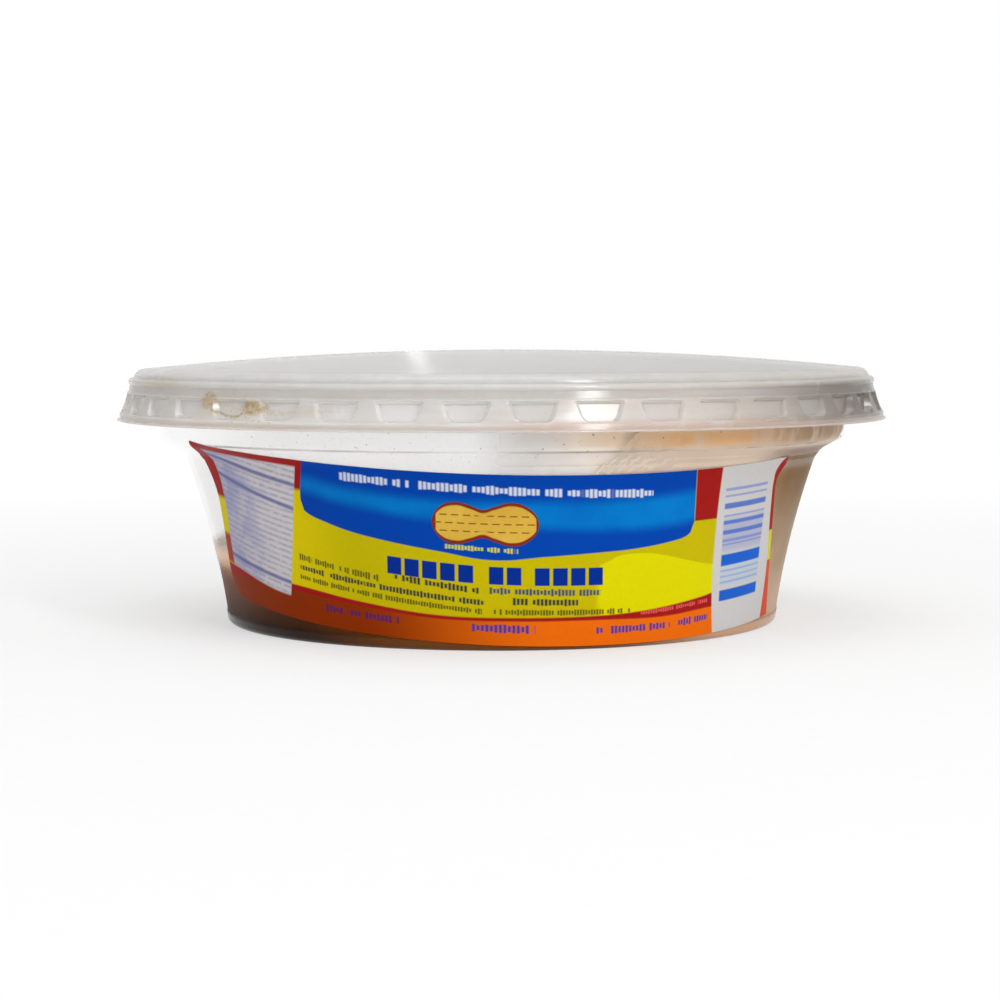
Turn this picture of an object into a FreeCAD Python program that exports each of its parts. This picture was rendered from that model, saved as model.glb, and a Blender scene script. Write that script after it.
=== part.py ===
"""A shallow round tub of peanut butter with a snap lid and one wrapped label.

Millimetres. +Z is up, the origin is the centre of the base on the ground, and the label faces -Y.
Profiles are given as (radius, height) pairs and turned about Z. Angles round the tub are
counted from -Y, positive towards +X.
"""

import FreeCAD, Part
import os
from math import cos, degrees, radians, sin, sqrt

from FreeCAD import Vector

# ---- tub: thin moulded cup with a stacking shoulder, a collar and a turned-down rim ----
base_radius = 42.3          # outside, at the foot of the wall
rim_radius = 56.2           # outside of the turned-down lip
tub_height = 37.9           # ground to the top of the rim
wall = 0.7                  # thickness of the wall and the collar
base_thickness = 0.9
base_corner = 0.5           # rounding between the base and the wall
foot_width = 2.2            # flat ring that the tub stands on
base_hollow = 0.3           # how far the middle of the base is raised
wall_bow = 0.68             # how far the wall curves in from a straight taper
shoulder_step = 3.0         # how much wider the shoulder is than the top of the wall
shoulder_rise = 1.6         # height of the sloping shoulder
neck_width = 0.9            # the curve that joins the wall to the shoulder
neck_rise = 0.7
neck_bulge = 0.1            # how far that curve bends out of a straight line
shoulder_edge = 0.25        # width of the small chamfer where the shoulder meets the collar
shoulder_edge_fall = 0.2
shoulder_edge_rise = 0.3
inner_shift_in = 0.6        # the inner skin's slope: its moves in and up for each mm of wall
inner_shift_up = 0.8
collar_height = 9.6         # shoulder's edge to the top of the rim
collar_flare = 0.7          # how much wider the collar is at its top
rim_overhang = 3.0          # collar to the outside of the rim
rim_round = 1.2             # outer rounding of the rim
lip_depth = 2.7             # top of the rim to the lower edge of the lip
lip_flare = 0.6             # how far the lip leans out below the rounding

# ---- lid: domed panel, bead, flared skirt with pressed-in snap lugs, seal ring ----
lid_wall = 0.65
lid_clearance = 0.15        # between the lid and the rim, all round
dome_rise = 2.75            # height of the domed panel
panel_edge_inset = 0.9      # rim's rounding to the edge of the panel
shoulder_round = 1.5        # width of the rounding outside the panel
shoulder_bulge = 0.35
crease_drop = 0.35          # top of the rim to the crease under that rounding
crease_depth = 0.25         # fine groove between the panel and the bead
crease_rise = 0.1
bead_height = 1.1
bead_bulge = 0.35
bead_peak = 0.45            # share of the way down the bead where it bulges most
bead_inset = 0.15           # lower edge of the bead, in from the skirt
plain_height = 2.1          # crease to the ledge
ledge = 0.18                # small step in the skirt above the lugs
ledge_height = 0.15
channel_drop = 0.5          # crease to the outer corner of the channel round the rim
channel_out = 0.1
skirt_depth = 6.9           # top of the rim to the lower edge of the skirt
skirt_flare = 1.3           # how far the skirt spreads below the ledge
waist_share = 0.35          # part of that flare reached at the waist
waist_rise = 1.5            # waist above the band
band_height = 1.2           # plain band below the lugs
band_step = 0.12            # small step out at the top of the band
band_step_fall = 0.1
band_flare = 0.2
edge_lip = 0.3              # thin lip that ends the skirt
seal_depth = 2.4            # ring that hangs inside the rim
seal_thickness = 0.6

# ---- snap lugs: scoops pressed into the skirt ----
lug_count = 40
lug_turn = 4.24             # angle of the first lug's middle
lug_top_width = 7.0
lug_low_width = 5.2
lug_height = 2.9
lug_corner = 1.3            # setback of the rounded lower corners
lug_depth = 0.6
lug_draft = 0.55            # how much each side of a scoop leans in
lug_gap = 0.1               # ledge to the top of a scoop
lug_floor_lean = 0.35       # how much further out a scoop's floor is at its foot
lug_floor_corner = 0.7      # size of the floor's corners against the scoop's
lug_cut_out = 0.6           # how far the cutting shape stands out of the skirt
lug_root = 0.4              # share of the skirt's wall that each lug is joined into
lug_wall = 0.5

# ---- label: one flexible sheet, wrapped a little askew over part of the wall ----
label_thickness = 0.15
label_gap = 0.04
label_left = 50.4           # length of wall that it covers, left of the front
label_left_ear = 3.4        # how far the upper left corner reaches beyond the straight end
label_left_ear_low = 19.0   # heights between which it reaches out
label_left_ear_high = 26.2
label_left_nip = 3.2        # how far the lower left corner is drawn in
label_left_nip_high = 10.5
label_left_nip_low = 5.5
label_right = 50.0          # length of wall that it covers, right of the front
label_right_lean = 0.155    # how much shorter it gets for each mm of height
label_right_ear = 3.3
label_right_ear_low = 21.8
label_right_ear_high = 25.3
label_foot = 0.62           # lowest point of the lower edge above the ground
label_drop = 1.2            # top of the wall to the lowest point of the upper edge
label_low_turn = 19.0       # angle at which each edge is lowest
label_top_turn = 14.0
label_low_bow = 5.6         # rise of each edge from its lowest point to the left end
label_top_bow = 5.1
label_cut_reach = 84        # angle each way that the edges are worked out over
label_cut_step = 12
sleeve_reach = 80.0         # angle each way of the sleeve that the label is cut from

# ---- contents: soft paste that has slumped to one side ----
paste_gap = 0.05
paste_low = 10.5            # level on the emptier side
paste_headroom = 2.7        # top of the rim to the level on the fuller side
paste_slope_start = -6.0    # the slope between them, along X
paste_slope_end = 28.0
paste_ripple = 0.45         # unevenness of its top
ripple_length = 8.5
ripple_shift_x = 0.6
ripple_shift_y = -0.4
paste_mouth = 1.0           # top of the rim to where the shape of the contents is closed

# ---- worked-out sizes ----
collar_top_radius = rim_radius - rim_overhang
collar_low_radius = collar_top_radius - collar_flare
wall_top_radius = collar_low_radius - shoulder_step - neck_width
collar_low_height = tub_height - collar_height
shoulder_low_height = collar_low_height - shoulder_rise
wall_top_height = shoulder_low_height - neck_rise
lip_low_height = tub_height - lip_depth
edge_height = tub_height - skirt_depth
crease_height = tub_height - crease_drop
panel_radius = rim_radius - lip_flare - panel_edge_inset


def point(radius, height, angle=0.0):
    """Place at a radius, a height and an angle round the tub."""
    return Vector(radius * sin(radians(angle)), -radius * cos(radians(angle)), height)


def line(a, b):
    return Part.LineSegment(point(*a), point(*b)).toShape()


def arc(a, middle, b):
    return Part.Arc(point(*a), point(*middle), point(*b)).toShape()


def turned(edges, start=0.0, sweep=360.0):
    """Solid of revolution about Z from the edges of one closed profile."""
    face = Part.Face(Part.Wire(Part.__sortEdges__(edges)))
    face.rotate(Vector(0, 0, 0), Vector(0, 0, 1), start)
    return face.revolve(Vector(0, 0, 0), Vector(0, 0, 1), sweep)


def between(a, b, share, sideways=0.0):
    """Point part of the way from a to b, moved to the right of that direction."""
    run = b[0] - a[0]
    rise = b[1] - a[1]
    length = (run ** 2 + rise ** 2) ** 0.5
    return (a[0] + share * run + sideways * rise / length,
            a[1] + share * rise - sideways * run / length)


def side_edges(inset, lowest, highest):
    """Wall, neck, shoulder and collar as one chain, moved in from the outside by inset."""
    foot = (base_radius - inset, lowest)
    moved_in = inner_shift_in * inset
    moved_up = inner_shift_up * inset
    wall_top = (wall_top_radius - inset, wall_top_height + moved_up / 4)
    neck = (wall_top_radius + neck_width - moved_in, shoulder_low_height + moved_up)
    shoulder = (collar_low_radius - shoulder_edge - moved_in,
                collar_low_height - shoulder_edge_fall + moved_up)
    collar_low = (collar_low_radius - inset, collar_low_height + shoulder_edge_rise + moved_in)
    collar_top = (collar_top_radius - inset, highest)
    return [
        arc(foot, between(foot, wall_top, 0.5, -wall_bow), wall_top),
        arc(wall_top, between(wall_top, neck, 0.5, neck_bulge), neck),
        line(neck, shoulder),
        line(shoulder, collar_low),
        line(collar_low, collar_top),
    ]


def ends(edges):
    """First and last point of a chain, as (radius, height) pairs."""
    first = edges[0].Vertexes[0].Point
    last = edges[-1].Vertexes[-1].Point
    return (-first.y, first.z), (-last.y, last.z)


def make_tub():
    rim_low = tub_height - wall
    outside = side_edges(0.0, base_corner, rim_low)
    inside = side_edges(wall, base_thickness, rim_low)
    outer_foot, outer_top = ends(outside)
    inner_foot, inner_top = ends(inside)
    ground = (base_radius - base_corner, 0.0)
    foot_inner = (ground[0] - foot_width, 0.0)
    hollow = (foot_inner[0] - base_hollow, base_hollow)
    rim_inner = (inner_top[0], tub_height)
    rim_turn = (rim_radius - lip_flare - rim_round, tub_height)
    lip_top = (rim_radius - lip_flare, tub_height - rim_round)
    lip_low = (rim_radius, lip_low_height)
    lip_inner = (lip_low[0] - wall, lip_low_height)
    under_top = (lip_top[0] - wall, lip_top[1])
    under_turn = (rim_turn[0], rim_low)
    rounding = between(lip_top, rim_turn, 0.5, (sqrt(2) - 1) * rim_round / sqrt(2))
    profile = [
        line((0.0, base_hollow), hollow),
        line(hollow, foot_inner),
        line(foot_inner, ground),
        line(ground, outer_foot),
        *outside,
        line(outer_top, under_turn),
        line(under_turn, under_top),
        line(under_top, lip_inner),
        line(lip_inner, lip_low),
        line(lip_low, lip_top),
        arc(lip_top, rounding, rim_turn),
        line(rim_turn, rim_inner),
        line(rim_inner, inner_top),
        *inside,
        line(inner_foot, (0.0, base_thickness)),
        line((0.0, base_thickness), (0.0, base_hollow)),
    ]
    return turned(profile)


def skirt_points(inset):
    """Skirt of the lid from the bead down to its lower edge, moved in from the outside by inset."""
    top_radius = rim_radius + lid_clearance + lid_wall - inset
    band_high = edge_height + band_height
    ledge_high = crease_height - plain_height
    return {
        "bead_low": (top_radius - bead_inset, crease_height - bead_height),
        "ledge_top": (top_radius, ledge_high),
        "ledge_low": (top_radius + ledge, ledge_high - ledge_height),
        "waist": (top_radius + ledge + waist_share * skirt_flare, band_high + waist_rise),
        "lug_low": (top_radius + skirt_flare, band_high),
        "band_top": (top_radius + skirt_flare + band_step, band_high - band_step_fall),
        "band_low": (top_radius + skirt_flare + band_flare, edge_height + edge_lip),
    }


def dome_drop(radius):
    """How far the domed panel lies below its apex at a radius. The dome is part of a sphere."""
    sphere = (panel_radius ** 2 + dome_rise ** 2) / (2 * dome_rise)
    return sphere - sqrt(sphere ** 2 - radius ** 2)


def dome_arc(apex_height, radius):
    """Curve of the dome from its apex out to a radius."""
    apex = (0.0, apex_height)
    middle = (radius / 2, apex_height - dome_drop(radius / 2))
    return arc(apex, middle, (radius, apex_height - dome_drop(radius)))


def make_lid_shell():
    outer = skirt_points(0.0)
    inner = skirt_points(lid_wall)
    under_apex = tub_height + lid_clearance + dome_rise
    apex = under_apex + lid_wall
    panel_edge = (panel_radius, apex - dome_rise)
    under_edge = (panel_radius, under_apex - dome_rise)
    crease = (panel_radius + shoulder_round, crease_height)
    bead_top = (crease[0] + crease_depth, crease_height - crease_rise)
    bead_low = outer["bead_low"]
    lip_out = (outer["band_low"][0] + edge_lip, edge_height + edge_lip)
    lip_base = (lip_out[0], edge_height)
    inner_base = (inner["band_low"][0], edge_height)
    channel_corner = (inner["bead_low"][0] + channel_out, crease_height - channel_drop)
    seal_out = collar_top_radius - wall - lid_clearance
    seal_in = seal_out - seal_thickness
    seal_root_out = (seal_out, under_apex - dome_drop(seal_out))
    seal_root_in = (seal_in, under_apex - dome_drop(seal_in))
    seal_low_out = (seal_out, seal_root_out[1] - seal_depth)
    seal_low_in = (seal_in, seal_low_out[1])
    return turned([
        dome_arc(apex, panel_radius),
        arc(panel_edge, between(panel_edge, crease, 0.5, -shoulder_bulge), crease),
        line(crease, bead_top),
        arc(bead_top, between(bead_top, bead_low, bead_peak, -bead_bulge), bead_low),
        line(bead_low, outer["ledge_top"]),
        line(outer["ledge_top"], outer["ledge_low"]),
        arc(outer["ledge_low"], outer["waist"], outer["lug_low"]),
        line(outer["lug_low"], outer["band_top"]),
        line(outer["band_top"], outer["band_low"]),
        line(outer["band_low"], lip_out),
        line(lip_out, lip_base),
        line(lip_base, inner_base),
        line(inner_base, inner["lug_low"]),
        arc(inner["lug_low"], inner["waist"], inner["ledge_low"]),
        line(inner["ledge_low"], channel_corner),
        line(channel_corner, under_edge),
        line(under_edge, seal_root_out),
        line(seal_root_out, seal_low_out),
        line(seal_low_out, seal_low_in),
        line(seal_low_in, seal_root_in),
        dome_arc(under_apex, seal_in),
        line((0.0, under_apex), (0.0, apex)),
    ])


def scoop_wire(top_radius, top_height, low_radius, low_height, top_width, low_width, corner):
    """Trapezoid across the front with its wide side up and round lower corners."""
    top_left = Vector(-top_width / 2, -top_radius, top_height)
    top_right = Vector(top_width / 2, -top_radius, top_height)
    low_right = Vector(low_width / 2, -low_radius, low_height)
    low_left = Vector(-low_width / 2, -low_radius, low_height)

    def setback(tip, towards):
        return tip + (towards - tip).normalize() * corner

    def rounded(start, tip, end):
        curve = Part.BezierCurve()
        curve.setPoles([start, tip, end])
        return curve.toShape()

    right_start = setback(low_right, top_right)
    right_end = setback(low_right, low_left)
    left_start = setback(low_left, low_right)
    left_end = setback(low_left, top_left)
    return Part.Wire([
        Part.makeLine(top_left, top_right),
        Part.makeLine(top_right, right_start),
        rounded(right_start, low_right, right_end),
        Part.makeLine(right_end, left_start),
        rounded(left_start, low_left, left_end),
        Part.makeLine(left_end, top_left),
    ])


def drafted_block(skirt_offset, floor_offset, grow):
    """Block that narrows from the skirt's surface to a lug's floor. Offsets count inwards."""
    skin = skirt_points(0.0)
    top_height = skin["ledge_low"][1] - lug_gap + grow
    low_height = top_height - lug_height - 2 * grow
    skin_top = skin["ledge_low"][0] - skirt_offset
    skin_low = skin["lug_low"][0] - skirt_offset
    floor_top = skin["ledge_low"][0] - floor_offset
    floor_low = floor_top + lug_floor_lean
    narrower = 2 * grow - 2 * lug_draft
    outer = scoop_wire(skin_top, top_height, skin_low, low_height,
                       lug_top_width + 2 * grow, lug_low_width + 2 * grow, lug_corner)
    inner = scoop_wire(floor_top, top_height - lug_draft, floor_low, low_height + lug_gap,
                       lug_top_width + narrower, lug_low_width + narrower,
                       lug_floor_corner * lug_corner)
    return Part.makeLoft([outer, inner], True, True)


def round_the_skirt(shape):
    """Copies of one lug's shape, one for each lug."""
    copies = []
    for index in range(lug_count):
        copy = shape.copy()
        copy.rotate(Vector(0, 0, 0), Vector(0, 0, 1), lug_turn + index * 360.0 / lug_count)
        copies.append(copy)
    return copies


def make_lid():
    shell = make_lid_shell()
    lug = drafted_block(lug_root * lid_wall, lug_depth + lug_wall, lug_wall / 2)
    scoop = drafted_block(-lug_cut_out, lug_depth, 0.0)
    with_lugs = shell.fuse(round_the_skirt(lug))
    return with_lugs.cut(Part.makeCompound(round_the_skirt(scoop))).Solids[0]


def outside_radius(height):
    """Outside radius of the tub: a straight taper less its bow, then out over the shoulder."""
    share = (min(height, wall_top_height) - base_corner) / (wall_top_height - base_corner)
    taper = base_radius + (wall_top_radius - base_radius) * share
    over = (height - wall_top_height) / (collar_low_height - wall_top_height)
    step = (collar_low_radius - wall_top_radius) * min(max(over, 0.0), 1.0)
    return taper - 4 * wall_bow * share * (1 - share) + step


def radial_sheet(places):
    """Surface that runs outwards through the given (angle, height) places."""
    curves = []
    for radius in (collar_low_radius / 2, 1.5 * rim_radius):
        curve = Part.BSplineCurve()
        curve.interpolate([point(radius, height, angle) for angle, height in places])
        curves.append(curve.toShape())
    return Part.makeRuledSurface(*curves)


def label_edge(lowest, turn, bow):
    """(angle, height) places along one long edge, which bows up from where it is lowest."""
    reach = turn + degrees(label_left / base_radius)
    angles = range(-label_cut_reach, label_cut_reach + 1, label_cut_step)
    return [(angle, lowest + bow * ((angle - turn) / reach) ** 2) for angle in angles]


def grown(height, start, end):
    """0 up to the start and 1 from the end on, with a curve that steepens between them."""
    return min(max((height - start) / (end - start), 0.0), 1.0) ** 2


def left_length(height):
    ear = label_left_ear * grown(height, label_left_ear_low, label_left_ear_high)
    nip = label_left_nip * grown(height, label_left_nip_high, label_left_nip_low)
    return label_left + ear - nip


def right_length(height):
    ear = label_right_ear * grown(height, label_right_ear_low, label_right_ear_high)
    return label_right - label_right_lean * height + ear


def label_end(length_at, side):
    """(angle, height) places up one short end, from its length at each height."""
    top = collar_low_height + 3.0
    steps = 28
    places = []
    for index in range(steps + 1):
        height = base_corner + (top - base_corner) * index / steps
        places.append((side * degrees(length_at(height) / outside_radius(height)), height))
    return [(places[0][0], -1.0)] + places


def make_label():
    highest = lip_low_height - 2.0
    inner = side_edges(-label_gap, base_corner, highest)
    outer = side_edges(-label_gap - label_thickness, base_corner, highest)
    inner_low, inner_high = ends(inner)
    outer_low, outer_high = ends(outer)
    sheet = turned(inner + outer + [line(inner_high, outer_high), line(outer_low, inner_low)],
                   -sleeve_reach, 2 * sleeve_reach)
    top = wall_top_height - label_drop
    top_edge = radial_sheet(label_edge(top, label_top_turn, label_top_bow))
    low_edge = radial_sheet(label_edge(label_foot, label_low_turn, label_low_bow))
    sheet = sheet.cut(top_edge.extrude(Vector(0, 0, 2 * tub_height)))
    sheet = sheet.cut(low_edge.extrude(Vector(0, 0, -2 * tub_height)))
    for length_at, side in ((left_length, -1), (right_length, 1)):
        places = label_end(length_at, side)
        away = radians(places[0][0])
        beyond = Vector(cos(away), sin(away), 0) * (side * 2 * rim_radius)
        sheet = sheet.cut(radial_sheet(places).extrude(beyond))
    return sheet.Solids[0]


def paste_level(x, y):
    """Height of the paste's top: low on one side, banked up to the lid on the other."""
    share = (x - paste_slope_start) / (paste_slope_end - paste_slope_start)
    share = min(max(share, 0.0), 1.0)
    rise = share * share * (3 - 2 * share)
    high = tub_height - paste_headroom
    ripple = sin(x / ripple_length + ripple_shift_x) * cos(y / ripple_length + ripple_shift_y)
    return paste_low + (high - paste_low) * rise + paste_ripple * ripple


def make_paste():
    mouth = tub_height - paste_mouth
    inside = side_edges(wall + paste_gap, base_thickness + paste_gap, mouth)
    low, high = ends(inside)
    floor_centre = (0.0, low[1])
    mouth_centre = (0.0, mouth)
    closing = [
        line(high, mouth_centre),
        line(mouth_centre, floor_centre),
        line(floor_centre, low),
    ]
    fill = turned(inside + closing)
    places = [rim_radius * (0.12 * step - 1.08) for step in range(19)]
    grid = [[Vector(x, y, paste_level(x, y)) for x in places] for y in places]
    top = Part.BSplineSurface()
    top.interpolate(grid)
    below = top.toShape().extrude(Vector(0, 0, -2 * tub_height))
    return fill.common(below).Solids[0]


os.makedirs("parts", exist_ok=True)
solids = {
    "tub": make_tub(),
    "lid": make_lid(),
    "label": make_label(),
    "peanut_butter": make_paste(),
}
for name, solid in solids.items():
    solid.exportStep("parts/" + name + ".step")
    print(name, round(solid.Volume, 1), solid.isValid())
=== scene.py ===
import math

import bpy
import numpy as np
from mathutils import Matrix, Vector


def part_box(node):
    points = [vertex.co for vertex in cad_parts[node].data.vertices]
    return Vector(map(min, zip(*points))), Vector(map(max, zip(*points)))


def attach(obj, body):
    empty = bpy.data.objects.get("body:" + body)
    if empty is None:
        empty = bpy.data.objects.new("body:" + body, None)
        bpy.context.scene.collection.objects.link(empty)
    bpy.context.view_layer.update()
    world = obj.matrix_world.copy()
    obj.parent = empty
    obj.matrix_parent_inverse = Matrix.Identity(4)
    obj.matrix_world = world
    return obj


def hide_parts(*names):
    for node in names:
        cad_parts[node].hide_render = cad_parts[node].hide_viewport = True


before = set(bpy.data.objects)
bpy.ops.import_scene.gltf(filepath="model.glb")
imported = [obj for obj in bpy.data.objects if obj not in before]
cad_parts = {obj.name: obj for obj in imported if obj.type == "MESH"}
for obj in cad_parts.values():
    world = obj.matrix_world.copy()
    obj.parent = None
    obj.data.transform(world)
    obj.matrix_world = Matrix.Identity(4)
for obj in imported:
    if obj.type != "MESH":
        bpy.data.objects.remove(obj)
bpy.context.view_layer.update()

MM = 0.001


# ---- sizes in millimetres, as in the part's source; overall sizes come from the frame ----
def millimetres(node):
    """Low and high corner of a node's box."""
    low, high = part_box(node)
    return [round(c / MM, 3) for c in low], [round(c / MM, 3) for c in high]


RIM_RADIUS, _, TUB_HEIGHT = millimetres("tub")[1]
SKIRT_LOW = millimetres("lid")[0][2]

BASE_RADIUS = 42.3
WALL = 0.7
BASE_THICKNESS = 0.9
BASE_CORNER = 0.5
BASE_RAISE = 0.3
FOOT_WIDTH = 2.2
COLLAR_TOP_RADIUS = RIM_RADIUS - 3.0
COLLAR_LOW_RADIUS = COLLAR_TOP_RADIUS - 0.7
COLLAR_LOW = TUB_HEIGHT - 9.6
NECK_HIGH = COLLAR_LOW - 1.6
WALL_TOP_RADIUS = COLLAR_LOW_RADIUS - 3.9
WALL_TOP = NECK_HIGH - 0.7
WALL_BOW = 0.68
RIM_IN = 1.8
LIP_IN = 0.6
LIP_TOP = TUB_HEIGHT - 1.2
LIP_LOW = TUB_HEIGHT - 2.7

LID_WALL = 0.65
LID_GAP = 0.15
DOME_RISE = 2.75
PANEL_RADIUS = RIM_RADIUS - 1.5
CREASE = TUB_HEIGHT - 0.35
SKIRT_RADIUS = RIM_RADIUS + LID_GAP + LID_WALL
SKIN_OUT = 0.18
SEAL_WIDTH = 0.6
SEAL_DEPTH = 2.4
# the skirt's lower edge: (out from SKIRT_RADIUS, up from SKIRT_LOW)
SKIRT_EDGE = [(1.42, 1.1), (1.5, 0.3), (1.8, 0.27), (1.8, 0.0)]

LUG_COUNT = 40
LUG_TURN = math.radians(4.24)
LUG_TOP = CREASE - 2.35
LUG_LOW = LUG_TOP - 2.9
LUG_HALF_TOP = 3.5
LUG_HALF_LOW = 2.6
LUG_CORNER = 1.0
LUG_DRAFT = 0.45
LUG_DEPTH = 0.6
LUG_LEAN = 0.4
LUG_EASE = 0.55
LUG_EASE_LOW = 0.1
LUG_WALL = 0.5

# The label: lengths run along the wall from the front's middle. Its lower and upper edges
# rise towards its ends, from the turns (in degrees) where they lie lowest.
LABEL_LEFT = 50.4
LABEL_RIGHT = 50.0
LABEL_RIGHT_LEAN = 0.155
LABEL_FOOT = 0.62
LABEL_TOP = WALL_TOP - 1.2
FOOT_BOW, FOOT_TURN = 5.6, 19.0
TOP_BOW, TOP_TURN = 5.1, 14.0
LABEL_LIFTS = (0.05, 0.2)
LABEL_HEIGHT = 24.5
PRINT_SPAN = 120.0
HALF_SPAN = PRINT_SPAN / 2

PASTE_REACH = 0.55
PASTE_LOW = 10.5
PASTE_HIGH = TUB_HEIGHT - 2.7
SLOPE_START = -6.0
SLOPE_WIDTH = 34.0
RIPPLE_HEIGHT = 0.45
RIPPLE_LENGTH = 8.5


# ---- profiles ----
def arc_points(a, middle, b, steps):
    """Points on the circle through three (radius, height) pairs."""
    (x1, y1), (x2, y2), (x3, y3) = a, middle, b
    d = 2 * (x1 * (y2 - y3) + x2 * (y3 - y1) + x3 * (y1 - y2))
    s1, s2, s3 = x1 * x1 + y1 * y1, x2 * x2 + y2 * y2, x3 * x3 + y3 * y3
    cx = (s1 * (y2 - y3) + s2 * (y3 - y1) + s3 * (y1 - y2)) / d
    cy = (s1 * (x3 - x2) + s2 * (x1 - x3) + s3 * (x2 - x1)) / d
    start = math.atan2(y1 - cy, x1 - cx)
    sweep = (math.atan2(y3 - cy, x3 - cx) - start + math.pi) % (2 * math.pi) - math.pi
    radius = math.hypot(x1 - cx, y1 - cy)
    turns = [start + sweep * i / steps for i in range(steps + 1)]
    return [(cx + radius * math.cos(t), cy + radius * math.sin(t)) for t in turns]


def between(a, b, share, sideways=0.0):
    """The point at a share of the way from a to b, moved sideways by a length."""
    run, rise = b[0] - a[0], b[1] - a[1]
    length = math.hypot(run, rise)
    return (a[0] + share * run + sideways * rise / length,
            a[1] + share * rise - sideways * run / length)


def rounded(points, radius, steps=3):
    """A chain with each inner corner turned into a small curve."""
    out = [points[0]]
    for before, tip, after in zip(points, points[1:], points[2:]):
        room = min(math.dist(before, tip), math.dist(tip, after)) * 0.45
        back = min(radius, room)
        start = between(tip, before, back / math.dist(before, tip))
        end = between(tip, after, back / math.dist(tip, after))
        for i in range(steps + 1):
            t = i / steps
            out.append(tuple((1 - t) ** 2 * s + 2 * t * (1 - t) * c + t * t * e
                             for s, c, e in zip(start, tip, end)))
    out.append(points[-1])
    return out


def side_points(inset, lowest, highest, steps=24):
    """Wall, neck, shoulder and collar, moved in from the outside by inset."""
    foot = (BASE_RADIUS - inset, lowest)
    wall_top = (WALL_TOP_RADIUS - inset, WALL_TOP + 0.2 * inset)
    neck = (WALL_TOP_RADIUS + 0.9 - 0.6 * inset, NECK_HIGH + 0.8 * inset)
    shoulder = (COLLAR_LOW_RADIUS - 0.25 - 0.6 * inset, COLLAR_LOW - 0.2 + 0.8 * inset)
    collar_low = (COLLAR_LOW_RADIUS - inset, COLLAR_LOW + 0.3 + 0.6 * inset)
    collar_top = (COLLAR_TOP_RADIUS - inset, highest)
    wall = arc_points(foot, between(foot, wall_top, 0.5, -WALL_BOW), wall_top, steps)
    bend = arc_points(wall_top, between(wall_top, neck, 0.5, 0.1), neck, 4)
    corner = rounded([neck, shoulder, collar_low, collar_top], 0.35)
    return wall + bend[1:] + corner[1:]


def tub_profile():
    """Half section of the tub, from the middle of its underside to the middle of its floor."""
    rim_low = TUB_HEIGHT - WALL
    ground = (BASE_RADIUS - BASE_CORNER, 0.0)
    foot_inner = (ground[0] - FOOT_WIDTH, 0.0)
    rim_turn = (RIM_RADIUS - RIM_IN, TUB_HEIGHT)
    lip_top = (RIM_RADIUS - LIP_IN, LIP_TOP)
    lip_low = (RIM_RADIUS, LIP_LOW)
    rounding = arc_points(lip_top, between(lip_top, rim_turn, 0.5, 0.35), rim_turn, 6)
    under = [(lip_low[0] - WALL, LIP_LOW), (lip_top[0] - WALL, LIP_TOP), (rim_turn[0], rim_low)]
    base = rounded([(0.0, BASE_RAISE), (foot_inner[0] - BASE_RAISE, BASE_RAISE), foot_inner,
                    ground, (BASE_RADIUS, BASE_CORNER), (BASE_RADIUS + 0.3, 2.0)], 0.25)[:-1]
    outside = side_points(0.0, BASE_CORNER, rim_low)
    inside = side_points(WALL, BASE_THICKNESS, TUB_HEIGHT)
    chain = base + outside[1:] + under[::-1] + [lip_low] + rounding
    return chain + inside[::-1] + [(0.0, BASE_THICKNESS)]


def dome_drop(radius):
    """How far the lid's dome has fallen at a radius."""
    sphere = (PANEL_RADIUS ** 2 + DOME_RISE ** 2) / (2 * DOME_RISE)
    return sphere - math.sqrt(sphere ** 2 - radius ** 2)


def clipped(value):
    """The value, held between 0 and 1."""
    return min(max(value, 0.0), 1.0)


# ---- meshes ----
def new_piece(name, points, faces, material, uvs=None):
    """A smooth mesh piece from points in millimetres. Its creases stay sharp."""
    mesh = bpy.data.meshes.new(name)
    mesh.from_pydata([tuple(c * MM for c in p) for p in points], [], faces)
    mesh.validate()
    mesh.shade_smooth()
    mesh.set_sharp_from_angle(angle=math.radians(38))
    if uvs is not None:
        layer = mesh.uv_layers.new(name="print")
        for loop in mesh.loops:
            layer.data[loop.index].uv = uvs[loop.vertex_index]
    mesh.materials.append(material)
    piece = bpy.data.objects.new(name, mesh)
    bpy.context.scene.collection.objects.link(piece)
    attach(piece, "root")
    return piece


def ring_faces(rows, columns):
    """Quads between rings of points that follow each other, all the way round."""
    faces = []
    for row in range(rows - 1):
        for column in range(columns):
            after = (column + 1) % columns
            here, above = row * columns, (row + 1) * columns
            faces.append((here + column, here + after, above + after, above + column))
    return faces


def closed(rings, first, last):
    """Points and faces of a solid from rings, with a point in the middle of each end."""
    columns = len(rings[0])
    points = [p for ring in rings for p in ring] + [first, last]
    faces = ring_faces(len(rings), columns)
    tail = (len(rings) - 1) * columns
    end = len(points) - 1
    for column in range(columns):
        after = (column + 1) % columns
        faces.append((end - 1, after, column))
        faces.append((end, tail + column, tail + after))
    return points, faces


def place(radius, height, angle):
    """The point at a radius, a height and an angle round the tub from the front."""
    return (radius * math.sin(angle), -radius * math.cos(angle), height)


def turned(name, profile, material, columns=192):
    """Closed solid of revolution from a chain that starts and ends on the axis."""
    angles = [2 * math.pi * i / columns for i in range(columns)]
    rings = [[place(r, z, t) for t in angles] for r, z in profile[1:-1]]
    points, faces = closed(rings, place(0, profile[0][1], 0), place(0, profile[-1][1], 0))
    return new_piece(name, points, faces, material)


# ---- lid ----
def lug_half_width(height):
    """Half the width of a lug at a height: a trapezoid with round lower corners."""
    share = (height - LUG_LOW) / (LUG_TOP - LUG_LOW)
    half = LUG_HALF_LOW + (LUG_HALF_TOP - LUG_HALF_LOW) * clipped(share)
    inside = min(max(LUG_LOW + LUG_CORNER - height, 0.0), LUG_CORNER) / LUG_CORNER
    return half - LUG_CORNER * (1 - math.sqrt(1 - inside ** 2))


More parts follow.
